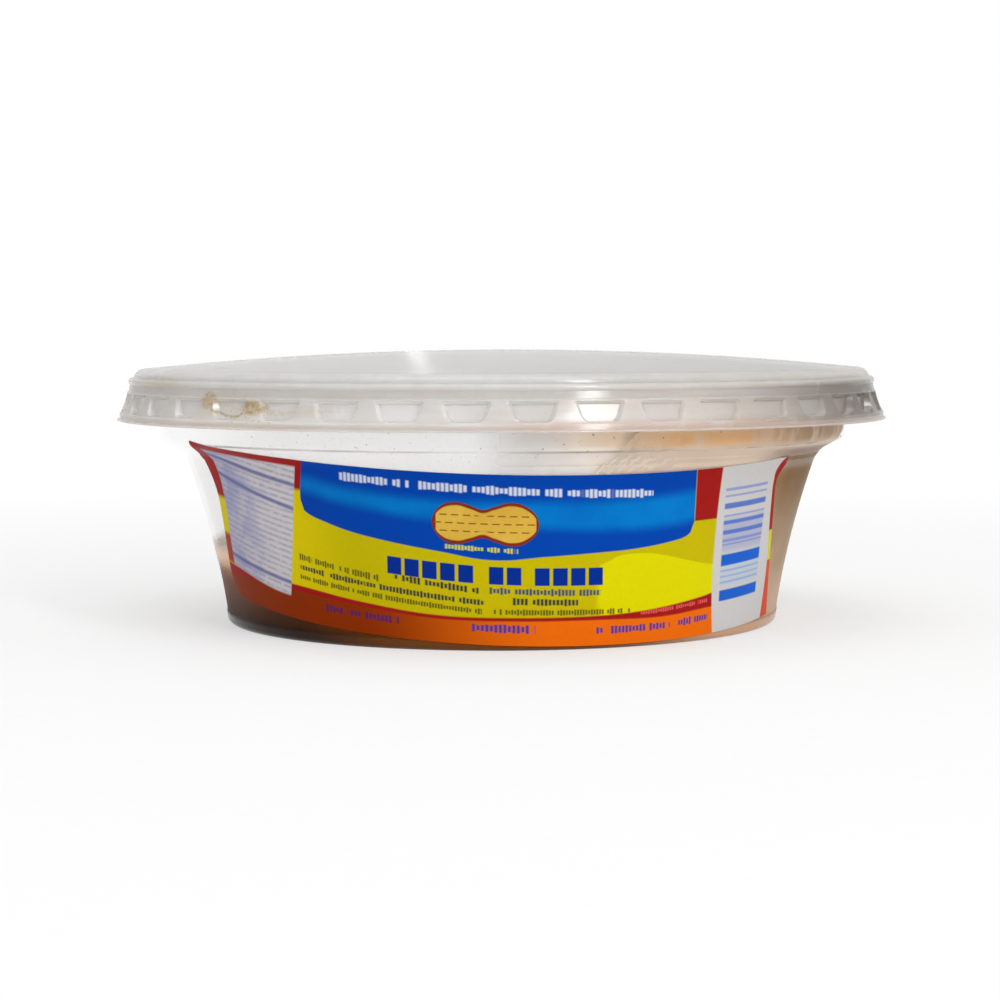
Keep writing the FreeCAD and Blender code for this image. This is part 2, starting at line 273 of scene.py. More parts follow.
def lug_share(height):
    """0 on the skirt's skin, 1 where the lug has its whole depth."""
    if height >= LUG_TOP or height <= LUG_LOW:
        return 0.0
    return min((LUG_TOP - height) / LUG_EASE, (height - LUG_LOW) / LUG_EASE_LOW, 1.0)


def lid_row(radius, height, thickness=0.0):
    """One ring of the lid. The inner skin's thickness sets it in behind each lug's floor."""
    half = lug_half_width(height)
    across = max(radius, SKIRT_RADIUS)
    depth = lug_share(height)
    fall = (LUG_TOP - LUG_EASE - height) / (LUG_TOP - LUG_LOW)
    floor = SKIRT_RADIUS + SKIN_OUT - LUG_DEPTH + LUG_LEAN * clipped(fall)
    inner_half = max(half - LUG_DRAFT, 0.3)
    pitch = 2 * math.pi / LUG_COUNT
    beside = (pitch / 2 + half / across) / 2
    offsets = [-half, -(half + inner_half) / 2] + [-inner_half * s for s in (1.0, 0.6, 0.2)]
    shares = [0.0, 0.5, 1.0, 1.0, 1.0]
    offsets += [-o for o in reversed(offsets)]
    shares += shares[::-1]
    ring = []
    for lug in range(LUG_COUNT):
        centre = LUG_TURN + lug * pitch
        ring.append((radius, height, centre - pitch / 2))
        ring.append((radius, height, centre - beside))
        for offset, share in zip(offsets, shares):
            turn = offset / across
            flat = floor / math.cos(turn) - thickness
            r = radius + (flat - radius) * share * depth
            ring.append((r, height, centre + turn))
        ring.append((radius, height, centre + beside))
    return [place(*p) for p in ring]


def skirt_chain(inset):
    """Skirt from the ledge to its lower edge, with close heights where the lugs bend."""
    top = (SKIRT_RADIUS + SKIN_OUT - inset, LUG_TOP + 0.1)
    waist = (SKIRT_RADIUS + 0.63 - inset, SKIRT_LOW + 2.7)
    low = (SKIRT_RADIUS + 1.3 - inset, SKIRT_LOW + 1.2)
    curve = arc_points(top, waist, low, 40)[::-1]
    heights = [LUG_TOP + 0.1]
    heights += [LUG_TOP - drop for drop in (0, 0.14, 0.28, 0.42, LUG_EASE, 0.62, 1.0, 1.5)]
    heights += [LUG_LOW + LUG_CORNER * share for share in (1.0, 0.75, 0.5, 0.35, 0.22, 0.14)]
    heights += [LUG_LOW + rise for rise in (LUG_EASE_LOW, 0.05, 0, -0.04)]
    radii = np.interp(heights[::-1], [p[1] for p in curve], [p[0] for p in curve])[::-1]
    return list(zip(radii.tolist(), heights)) + [low]


def make_lid(material):
    """Dome, bead, ledge, skirt with its lugs, and the inside with its seal."""
    apex = TUB_HEIGHT + LID_GAP + DOME_RISE + LID_WALL
    under = apex - LID_WALL
    panel_edge = (PANEL_RADIUS, apex - DOME_RISE)
    crease = (PANEL_RADIUS + 1.5, CREASE)
    bead_top = (crease[0] + 0.25, CREASE - 0.1)
    bead_low = (SKIRT_RADIUS - 0.15, CREASE - 1.1)
    radii = [PANEL_RADIUS * s for s in (0.03, 0.12, 0.25, 0.38, 0.5, 0.62, 0.73, 0.82, 0.9, 0.96)]
    dome = [(r, apex - dome_drop(r)) for r in radii]
    shoulder = arc_points(panel_edge, between(panel_edge, crease, 0.5, -0.35), crease, 7)
    bead = arc_points(bead_top, between(bead_top, bead_low, 0.45, -0.35), bead_low, 8)
    ledge = rounded([bead_low, (SKIRT_RADIUS, CREASE - 2.1),
                     (SKIRT_RADIUS + SKIN_OUT, CREASE - 2.25)], 0.08)
    skin = skirt_chain(0.0)
    edge = [(SKIRT_RADIUS + out, SKIRT_LOW + up) for out, up in SKIRT_EDGE]
    band = rounded([skin[-1]] + edge + [(SKIRT_RADIUS + 1.5 - LID_WALL, SKIRT_LOW)], 0.12)
    seal_out = COLLAR_TOP_RADIUS - WALL - LID_GAP
    seal_in = seal_out - SEAL_WIDTH
    root = under - dome_drop(seal_out)
    ceiling = [(SKIRT_RADIUS - 0.7, CREASE - 0.5), (PANEL_RADIUS, under - DOME_RISE),
               (seal_out, root), (seal_out, root - SEAL_DEPTH), (seal_in, root - SEAL_DEPTH),
               (seal_in, under - dome_drop(seal_in))]
    under_dome = [(r, under - dome_drop(r)) for r in radii[::-1] if r < seal_in - 1.0]
    rows = [lid_row(r, z) for r, z in dome + shoulder + bead + ledge[1:] + skin[1:] + band[1:]]
    rows += [lid_row(r, z, LUG_WALL) for r, z in skirt_chain(LID_WALL)[::-1]]
    rows += [lid_row(r, z) for r, z in rounded(ceiling, 0.15, 2) + under_dome]
    points, faces = closed(rows, (0, 0, apex), (0, 0, under))
    # the rows run from the top down, so each face is turned over; a quad keeps its diagonal
    faces = [f[::-1] if len(f) == 4 else (f[0], f[2], f[1]) for f in faces]
    piece = new_piece("lid_shell", points, faces, material)
    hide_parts("lid")
    return piece


# ---- label ----
def label_bow(angle, turn):
    """How far an edge has risen at an angle: 0 at its lowest turn, 1 at the left end."""
    reach = turn + math.degrees(LABEL_LEFT / BASE_RADIUS)
    return ((math.degrees(angle) - turn) / reach) ** 2


def grown(height, start, end):
    return clipped((height - start) / (end - start)) ** 2


def left_length(height):
    return LABEL_LEFT + 3.4 * grown(height, 19.0, 26.2) - 3.2 * grown(height, 10.5, 5.5)


def right_length(height):
    return LABEL_RIGHT - LABEL_RIGHT_LEAN * height + 3.3 * grown(height, 21.8, 25.3)


def make_label(material, edge_material):
    """Thin sheet on the tub's outside. Its print map counts from the front's middle."""
    chain = side_points(0.0, BASE_CORNER, TUB_HEIGHT - 4.7, 60)
    heights = [p[1] for p in chain]
    radii = [p[0] for p in chain]
    across, up = 200, 40
    spots = []
    for row in range(up + 1):
        for column in range(across + 1):
            u, v = column / across, row / up
            z = 14.0
            # the ends' lengths and the edges' heights depend on each other, so z is settled
            for _ in range(12):
                r = float(np.interp(z, heights, radii))
                angle = (-left_length(z) * (1 - u) + right_length(z) * u) / r
                low = LABEL_FOOT + FOOT_BOW * label_bow(angle, FOOT_TURN)
                high = LABEL_TOP + TOP_BOW * label_bow(angle, TOP_TURN)
                z = low + v * (high - low)
            spots.append((float(np.interp(z, heights, radii)), z, angle, v))
    points = [place(r + lift, z - lift / 4, angle)
              for lift in LABEL_LIFTS for r, z, angle, _ in spots]
    uvs = [(0.5 + angle * r / PRINT_SPAN, v) for r, _, angle, v in spots] * len(LABEL_LIFTS)
    width = across + 1
    sheet = len(spots)
    faces = []
    for row in range(up):
        for column in range(across):
            a = row * width + column
            quad = (a, a + 1, a + 1 + width, a + width)
            faces.append(tuple(i + sheet for i in quad))
            faces.append(quad[::-1])
    border = list(range(across)) + [r * width + across for r in range(up)]
    border += [up * width + c for c in range(across, 0, -1)]
    border += [r * width for r in range(up, 0, -1)]
    for here, after in zip(border, border[1:] + border[:1]):
        faces.append((here, after, after + sheet, here + sheet))
    piece = new_piece("label_sheet", points, faces, material, uvs)
    piece.data.materials.append(edge_material)
    for polygon in piece.data.polygons:
        if min(polygon.vertices) < sheet:
            polygon.material_index = 1
    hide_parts("label")
    return piece


# ---- paste ----
def paste_level(x, y):
    """Height of the paste's top: low at the left, a slope, then up to the collar."""
    share = clipped((x - SLOPE_START) / SLOPE_WIDTH)
    rise = share * share * (3 - 2 * share)
    ripple = math.sin(x / RIPPLE_LENGTH + 0.6) * math.cos(y / RIPPLE_LENGTH - 0.4)
    return PASTE_LOW + (PASTE_HIGH - PASTE_LOW) * rise + RIPPLE_HEIGHT * ripple


def make_paste(material):
    """Paste that fills the tub to its level, and reaches into the wall so no gap shows."""
    chain = side_points(WALL - PASTE_REACH, BASE_THICKNESS - PASTE_REACH, TUB_HEIGHT - 1.0, 30)
    heights, radii = [p[1] for p in chain], [p[0] for p in chain]
    floor = heights[0]
    columns, side_rows, top_rows = 192, 24, 40
    angles = [2 * math.pi * i / columns for i in range(columns)]
    rings = [[place(radii[0] * share, floor, t) for t in angles] for share in (0.02, 0.5, 0.97)]
    edge = []
    for t in angles:
        z = 20.0
        for _ in range(20):
            r = float(np.interp(z, heights, radii))
            z = paste_level(r * math.sin(t), -r * math.cos(t))
        edge.append(z)
    for row in range(side_rows + 1):
        levels = [floor + (z - floor) * row / side_rows for z in edge]
        rings.append([place(float(np.interp(z, heights, radii)), z, t)
                      for z, t in zip(levels, angles)])
    for row in range(1, top_rows):
        share = 1 - row / top_rows
        ring = []
        for z, t in zip(edge, angles):
            x, y, _ = place(float(np.interp(z, heights, radii)) * share, z, t)
            ring.append((x, y, paste_level(x, y)))
        rings.append(ring)
    points, faces = closed(rings, (0, 0, floor), (0, 0, paste_level(0, 0)))
    piece = new_piece("paste_body", points, faces, material)
    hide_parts("peanut_butter")
    return piece


# ---- materials ----
class Field:
    """A number that varies over a surface, with arithmetic that builds its nodes."""

    def __init__(self, tree, socket):
        self.tree = tree
        self.socket = socket

    def apply(self, operation, *others):
        node = self.tree.nodes.new("ShaderNodeMath")
        node.operation = operation
        self.tree.links.new(self.socket, node.inputs[0])
        for socket, other in zip(node.inputs[1:], others):
            link_or_set(self.tree, socket, other)
        return Field(self.tree, node.outputs[0])

    def __add__(self, other):
        return self.apply("ADD", other)

    def __sub__(self, other):
        return self.apply("SUBTRACT", other)

    def __mul__(self, other):
        return self.apply("MULTIPLY", other)

    def over(self, other):
        """The larger of the two."""
        return self.apply("MAXIMUM", other)

    def rest(self):
        """One less this."""
        return self * -1.0 + 1.0

    def ramp(self, start, end):
        """0 at start, 1 at end, smooth between. The smooth step needs no clamp of its own."""
        node = self.tree.nodes.new("ShaderNodeMapRange")
        node.interpolation_type = "SMOOTHSTEP"
        node.clamp = False
        self.tree.links.new(self.socket, node.inputs["Value"])
        rising = start <= end
        node.inputs["From Min"].default_value = start if rising else end
        node.inputs["From Max"].default_value = end if rising else start
        node.inputs["To Min"].default_value = 0.0 if rising else 1.0
        node.inputs["To Max"].default_value = 1.0 if rising else 0.0
        return Field(self.tree, node.outputs["Result"])

    def inside(self, low, high, soft):
        """1 between low and high, with soft edges."""
        return self.ramp(low - soft, low + soft) * self.ramp(high + soft, high - soft)

    def curve(self, points, low, high):
        """Smooth curve through (input, output) points. Inputs run from low to high."""
        share = (self - low) * (1.0 / (high - low))
        node = self.tree.nodes.new("ShaderNodeFloatCurve")
        node.mapping.extend = "HORIZONTAL"
        line = node.mapping.curves[0]
        places = [((x - low) / (high - low), y) for x, y in points]
        for _ in places[2:]:
            line.points.new(0.5, 0.5)
        for point, place_at in zip(line.points, places):
            point.location = place_at
        node.mapping.update()
        self.tree.links.new(share.socket, node.inputs["Value"])
        return Field(self.tree, node.outputs[0])


def link_or_set(tree, socket, value):
    """Links a field or an output to the socket, or sets the socket to a plain value."""
    if isinstance(value, Field):
        tree.links.new(value.socket, socket)
    elif isinstance(value, bpy.types.NodeSocket):
        tree.links.new(value, socket)
    else:
        socket.default_value = value


class Finish:
    """One material, its shader and its colour so far, with the patterns that it uses."""

    def __init__(self, name, look=None):
        self.material = bpy.data.materials.new(name)
        self.material.use_nodes = True
        self.tree = self.material.node_tree
        self.shader = self.tree.nodes["Principled BSDF"]
        self.look = look

    def put(self, socket, value):
        link_or_set(self.tree, self.shader.inputs[socket], value)

    def paint(self, share, tint):
        """Lays a colour over the colour so far, as thick as share says."""
        self.look = self.mix(share, self.look, tint)

    def place(self):
        """X, Y and Z of the surface in millimetres, and the vector that patterns take."""
        coords = self.tree.nodes.new("ShaderNodeTexCoord")
        scale = self.tree.nodes.new("ShaderNodeVectorMath")
        scale.operation = "SCALE"
        scale.inputs["Scale"].default_value = 1 / MM
        self.tree.links.new(coords.outputs["Object"], scale.inputs[0])
        split = self.tree.nodes.new("ShaderNodeSeparateXYZ")
        self.tree.links.new(scale.outputs[0], split.inputs[0])
        return [Field(self.tree, out) for out in split.outputs] + [scale.outputs[0]]

    def stretched(self, vector, factors):
        node = self.tree.nodes.new("ShaderNodeVectorMath")
        node.operation = "MULTIPLY"
        self.tree.links.new(vector, node.inputs[0])
        node.inputs[1].default_value = factors
        return node.outputs[0]

    def noise(self, vector, scale, detail=2.0, roughness=0.5):
        node = self.tree.nodes.new("ShaderNodeTexNoise")
        node.inputs["Scale"].default_value = scale
        node.inputs["Detail"].default_value = detail
        node.inputs["Roughness"].default_value = roughness
        self.tree.links.new(vector, node.inputs["Vector"])
        return Field(self.tree, node.outputs["Fac"])

    def mix(self, share, below, above):
        node = self.tree.nodes.new("ShaderNodeMix")
        node.data_type = "RGBA"
        # a mix node holds its number, vector and colour sockets side by side
        link_or_set(self.tree, node.inputs[0], share)
        link_or_set(self.tree, node.inputs[6], below)
        link_or_set(self.tree, node.inputs[7], above)
        return node.outputs[2]

    def bump(self, height, strength, distance):
        node = self.tree.nodes.new("ShaderNodeBump")
        node.inputs["Strength"].default_value = strength
        node.inputs["Distance"].default_value = distance * MM
        self.tree.links.new(height.socket, node.inputs["Height"])
        self.put("Normal", node.outputs[0])


def colour(red, green, blue):
    """A colour as seen, from 0 to 255, as the linear value that shaders take."""
    def linear(c):
        c /= 255
        return c / 12.92 if c <= 0.04045 else ((c + 0.055) / 1.055) ** 2.4
    return (linear(red), linear(green), linear(blue), 1.0)


def turn_of(x, y):
    """Angle round the tub in degrees, from the front and positive towards +X."""
    return x.apply("ARCTAN2", y * -1.0) * (180 / math.pi)


def noise_at(tree, number):
    """A value from 0 to 1 that differs from one whole number to the next."""
    node = tree.nodes.new("ShaderNodeTexWhiteNoise")
    node.noise_dimensions = "1D"
    link_or_set(tree, node.inputs["W"], number)
    return Field(tree, node.outputs["Value"])


def blot(turn, z, turn_at, height_at, turn_size, height_size):
    """1 at the middle of a soft oval spot, 0 beyond it."""
    across = (turn - turn_at) * (1 / turn_size)
    up = (z - height_at) * (1 / height_size)
    return (across * across + up * up).ramp(1.0, 0.2)


# Share of the tub's height, by millimetres across, up to which the paste wets the wall.
WET_LEVEL = [(-60, 0.29), (-20, 0.27), (-6, 0.27), (5, 0.42), (14, 0.66), (24, 0.93), (60, 0.95)]


def tub_plastic():
    """Clear moulded plastic: glassy where the paste wets it and milky where it doesn't."""
    f = Finish("tub_plastic", colour(255, 254, 252))
    x, y, z, vector = f.place()
    turn = turn_of(x, y)
    wet_level = x.curve(WET_LEVEL, -60, 60) * 38.0
    cloud = f.noise(vector, 0.12, 4.0, 0.6)
    dry = (z - wet_level + (cloud - 0.5) * 5.0).ramp(-1.5, 2.5)
    film = f.noise(f.stretched(vector, (0.05, 0.05, 0.5)), 1.0, 3.0, 0.6)
    smear = x.ramp(5, 18) * z.inside(28.6, 35.5, 0.5) * film.ramp(0.05, 0.4)
    cream = x.ramp(8, 20) * z.inside(24.5, 28.3, 0.6)
    # a dark line painted along the shoulder's crease as its shade
    crease = z.inside(27.95, 28.2, 0.12) * film.ramp(0.2, 0.6) * x.ramp(-46, -38)
    specks = f.noise(vector, 1.6, 2.0, 0.5).ramp(0.68, 0.74)
    dust = specks * z.ramp(24, 29) * turn.inside(-45, 40, 6.0)
    foot = z.ramp(2.3, 1.2)
    # the base ring takes the paste's colour, with painted shade that darkens it towards the left
    shaded_foot_colour = f.mix(x.ramp(-30, -12), colour(44, 20, 5), colour(112, 64, 12))
    shaded_foot_colour = f.mix(x.ramp(12, 34), shaded_foot_colour, colour(204, 162, 126))
    f.paint(smear, colour(238, 196, 144))
    f.paint(x.ramp(-2, 16) * z.ramp(24, 27) * 0.6, colour(244, 226, 204))
    f.paint(cream, colour(240, 224, 210))
    f.paint(crease * 0.85, colour(158, 130, 112))
    f.paint(x.ramp(-4, -24) * z.ramp(13.0, 11), colour(255, 208, 162))
    f.paint(dust, colour(170, 140, 110))
    f.paint(z.ramp(5.0, 2.8), shaded_foot_colour)
    f.put("Base Color", f.look)
    unseen = x.ramp(-37, -47) * z.ramp(22, 27)
    blurred = x.inside(7, 16, 6) * z.ramp(24, 27)
    meniscus = x.ramp(-4, -24) * z.inside(9.6, 12.2, 1.2)
    haze = dry * (x.ramp(-6, 8) * 0.38 + 0.12) + 0.006 + smear * 0.2 + cream * 0.2
    haze = (haze + meniscus * 0.8 + blurred * 0.5) * (unseen * -0.75 + 1.0)
    f.put("Alpha", haze.over(dust * 0.7).over(crease * 0.7).over(foot * 0.96))
    f.put("Roughness", film * 0.15 + 0.08)
    f.put("Specular IOR Level", 0.18)
    return f.material


def lid_plastic():
    """Frosted plastic with a film of dust, pinkish low down, and dried paste near the left."""
    f = Finish("lid_plastic", colour(226, 225, 223))
    x, y, z, vector = f.place()
    turn = turn_of(x, y)
    skirt = z.ramp(38.0, 36.5)
    streaks = f.noise(f.stretched(vector, (0.06, 0.06, 0.9)), 1.0, 4.0, 0.6)
    mottle = f.noise(vector, 0.3, 4.0, 0.65)
    f.paint(mottle.ramp(0.3, 0.7), colour(216, 215, 213))
    f.paint(skirt * (streaks.ramp(0.3, 0.7) * 0.6 + 0.3), colour(212, 201, 192))
    # painted shade on the skirt's left end
    f.paint(skirt * x.ramp(-40, -52) * 0.7, colour(190, 182, 176))

    # painted light in the lugs' recesses lifts the shade on their floors, least where the key light
    # falls on them
    outward = (x * x + y * y).apply("SQRT")
    recess = (outward + (z - LUG_TOP) * 0.4).ramp(SKIRT_RADIUS + 0.1, SKIRT_RADIUS - 0.25)
    in_lugs = recess * z.inside(LUG_LOW - 0.1, LUG_TOP + 0.1, 0.1)
    pocket_light = in_lugs * (x.ramp(-38, -6) * 0.42 + 0.58)
    unlit = (turn - 20.0).apply("ABSOLUTE").ramp(18, 32)
    f.paint(pocket_light * (unlit * 0.45 + 0.3), colour(255, 254, 252))

    # pink low on the skirt, painted shade round to the right, and a warm lower lip
    low_band = z.ramp(32.9, 32.0) * x.ramp(-4, 8)
    f.paint(skirt * low_band * mottle.ramp(0.25, 0.55) * 0.7, colour(208, 180, 170))
    shaded = turn.ramp(18, 66) * turn.ramp(125, 85) * mottle.ramp(0.0, 0.4)
    f.paint(skirt * shaded * 0.95, colour(106, 98, 92))
    f.paint(z.ramp(32.0, 31.6) * 0.6, colour(196, 178, 166))
    f.paint(x.ramp(5, 42) * skirt.rest() * 0.5, colour(188, 180, 168))

    # dried paste: two blots joined by a sagging run, with specks below and a haze round them
    grain = f.noise(vector, 1.25, 5.0, 0.65)
    sag = (turn + 40.6) * (turn + 40.6)
    run_line = (z - 32.75 - sag * 0.075 + (grain - 0.5) * 0.5).inside(-0.14, 0.14, 0.16)
    run = run_line * turn.inside(-44.6, -37.4, 0.6)
    left_blot = blot(turn, z, -45.2, 34.9, 1.9, 1.5)
    right_blot = blot(turn, z, -36.4, 34.0, 2.9, 1.15)
    haze = blot(turn, z, -40.5, 34.2, 9.5, 2.7)
    tail = turn.inside(-35, -22, 3.0) * z.inside(32.8, 34.8, 0.8) * streaks.ramp(0.3, 0.65)
    rim_stain = blot(turn, z, -62, 37.0, 10.0, 1.3)
    dots = f.noise(vector, 2.4, 1.0, 0.4).ramp(0.63, 0.7)
    specks = dots * turn.inside(-41, -31, 2.0) * z.inside(31.9, 34.2, 0.3)
    soft = (haze * 0.45 + tail * 0.55 + rim_stain * 0.7) * grain.ramp(0.25, 0.6)
    core = (left_blot * 0.7 + right_blot) * (grain.ramp(0.34, 0.58) * 0.65 + 0.3)
    strong = core.over(run * grain.ramp(0.3, 0.5) * 0.8).over(specks * 0.8)
    f.paint(soft, colour(200, 184, 158))
    f.paint(strong, colour(166, 138, 78))
    f.put("Base Color", f.look)
    alpha = skirt * 0.06 + pocket_light * (unlit * 0.12 + 0.12) + 0.68
    f.put("Alpha", alpha.over(strong * 0.85).over(soft * 0.7))
    f.put("Roughness", mottle * 0.1 + 0.1)
    f.put("Subsurface Weight", 0.9)
    f.put("Subsurface Radius", (1, 1, 1))
    f.put("Subsurface Scale", 0.003)
    return f.material


def paste_look():
    """Tan paste, with painted shade low on the emptier side and painted light on its upper slope,
    pale where it thins at the wall.
    """
    f = Finish("paste", colour(196, 152, 110))
    x, _, z, vector = f.place()
    geometry = f.tree.nodes.new("ShaderNodeNewGeometry")
    split = f.tree.nodes.new("ShaderNodeSeparateXYZ")
    f.tree.links.new(geometry.outputs["Normal"], split.inputs[0])
    top = Field(f.tree, split.outputs[2]).ramp(0.1, 0.3)
    coarse = f.noise(vector, 0.09, 4.0, 0.55)
    fine = f.noise(f.stretched(vector, (1.0, 1.0, 0.35)), 0.35, 4.0, 0.6)
    f.paint(coarse.ramp(0.35, 0.68), colour(158, 120, 84))
    f.paint(fine.ramp(0.45, 0.75) * 0.5, colour(214, 184, 152))
    f.paint(z.ramp(12, 3) * x.ramp(20, 40) * 0.6, colour(206, 182, 164))
    f.paint(z.ramp(23, 25) * 0.8, colour(234, 216, 198))

    # orange in the collar, painted light at the slope's edge, and brown down the right end
    collar = f.mix(z.ramp(32.0, 29.6), colour(255, 226, 166), colour(236, 180, 112))
    collar = f.mix(x.ramp(32, 47), collar, colour(150, 114, 66))
    f.paint(z.ramp(28, 29) * fine.ramp(0.25, 0.55) * 0.85, collar)
    f.paint(x.ramp(27, 12) * z.ramp(23, 27) * 0.85, colour(234, 222, 206))
    edge = x.ramp(35, 43) * z.ramp(28, 27)
    end = f.mix(z.ramp(13, 24), colour(162, 138, 110), colour(116, 82, 30))
    end = f.mix(z.ramp(13, 3), end, colour(202, 172, 144))
    f.paint(edge * 0.9, end)

    # painted shade low on the left, darkest near the floor as a painted contact shadow, with a pale
    # line where it meets the wall
    left_shade = f.mix(z.ramp(11.5, 6.5), colour(206, 154, 120), colour(112, 62, 38))
    left_shade = f.mix(z.ramp(6.5, 2.5), left_shade, colour(66, 34, 12))
    left_shade = f.mix(z.ramp(3.0, 0.6), left_shade, colour(40, 16, 3))
    left_shade = f.mix(x.ramp(-32, -14) * 0.85, left_shade, colour(126, 72, 8))
    left_shade = f.mix(fine.ramp(0.35, 0.75) * 0.2, left_shade, colour(96, 60, 34))
    f.paint(x.ramp(14, -6) * z.ramp(13, 10), left_shade)
    f.paint(x.ramp(-4, -24) * z.inside(9.6, 12.6, 0.8) * 0.9, colour(236, 192, 152))
    # painted light on the paste's upward faces about the middle
    f.paint(top * x.ramp(-4, 4), colour(242, 230, 218))
    f.put("Base Color", f.look)
    f.put("Roughness", coarse * 0.3 + 0.3)
    f.put("Specular IOR Level", 0.06)
    f.bump(fine, 0.15, 0.4)
    return f.material


def label_paper():
    """The label's plain back and cut edges."""
    f = Finish("label_paper", colour(226, 225, 222))
    vector = f.place()[3]
    f.paint(f.noise(vector, 1.5, 3.0), colour(212, 210, 205))
    f.put("Base Color", f.look)
    f.put("Roughness", 0.5)
    return f.material


# ---- print: borders as (millimetres across, share of the label's height) ----
BLUE_LOW = [(-60, 0.8), (-30.6, 0.8), (-29.8, 0.704), (-28.4, 0.67), (-25.8, 0.642),
            (-22.3, 0.61), (-16.5, 0.576), (-8.6, 0.538), (-1, 0.501), (5.9, 0.525),
            (13, 0.545), (19.3, 0.561), (24.7, 0.587), (27, 0.605), (28.3, 0.64), (29, 0.70),
            (60, 0.75)]
WAVE = [(-60, 0.9), (-29.6, 0.859), (-24, 0.825), (-19, 0.806), (-11.6, 0.783), (6, 0.768),
        (15, 0.763), (20.5, 0.764), (26, 0.78), (60, 0.9)]
ORANGE_TOP = [(-60, 0.11), (-51, 0.124), (-40.7, 0.166), (-32, 0.177), (-20.7, 0.163),
              (-8.7, 0.139), (2.5, 0.145), (13.9, 0.15), (23.4, 0.144), (32.6, 0.162), (60, 0.16)]
RED_TOP = [(-60, 0.2), (-40.7, 0.2), (-32, 0.215), (-20.7, 0.19), (-8.7, 0.16), (2.5, 0.166),
           (13.9, 0.176), (18.8, 0.185), (23.4, 0.2), (30.7, 0.233), (34, 0.25), (60, 0.25)]
HILL = [(-60, 0.2), (12.6, 0.4), (13.5, 0.465), (15.3, 0.50), (17, 0.528), (20.3, 0.532),
        (24, 0.508), (28.4, 0.461), (32, 0.427), (60, 0.3)]
# half the motif's height, by millimetres across
SHELL = [(-11, 0), (-9.8, 0), (-9.5, 0.04), (-8.6, 0.095), (-6.4, 0.128), (-4.2, 0.108),
         (-2.6, 0.088), (-1.0, 0.108), (1.4, 0.132), (3.6, 0.104), (4.9, 0.045), (5.2, 0), (7, 0)]
SHELL_UP = 0.712
# sides of the panels as (share of the label's height, millimetres across)
PANEL_LEFT = [(0.0, -47.6), (0.1, -48.2), (0.17, -48.2), (0.35, -48.4), (0.55, -48.2),
              (0.7, -48.4), (0.8, -49.0), (0.9, -50.4), (1.0, -52.0)]
PANEL_RIGHT = [(0.0, -33.5), (0.36, -32.5), (0.83, -31.15), (1.0, -30.6)]
WHITE_LEFT = [(0.0, 33.3), (0.32, 32.8), (0.56, 32.9), (0.8, 33.2), (1.0, 33.6)]
WHITE_RIGHT = [(0.0, 46.7), (0.1, 47.1), (0.36, 47.3), (0.55, 46.6), (0.71, 46.1),
               (0.87, 45.9), (0.93, 46.3), (1.0, 48.6)]


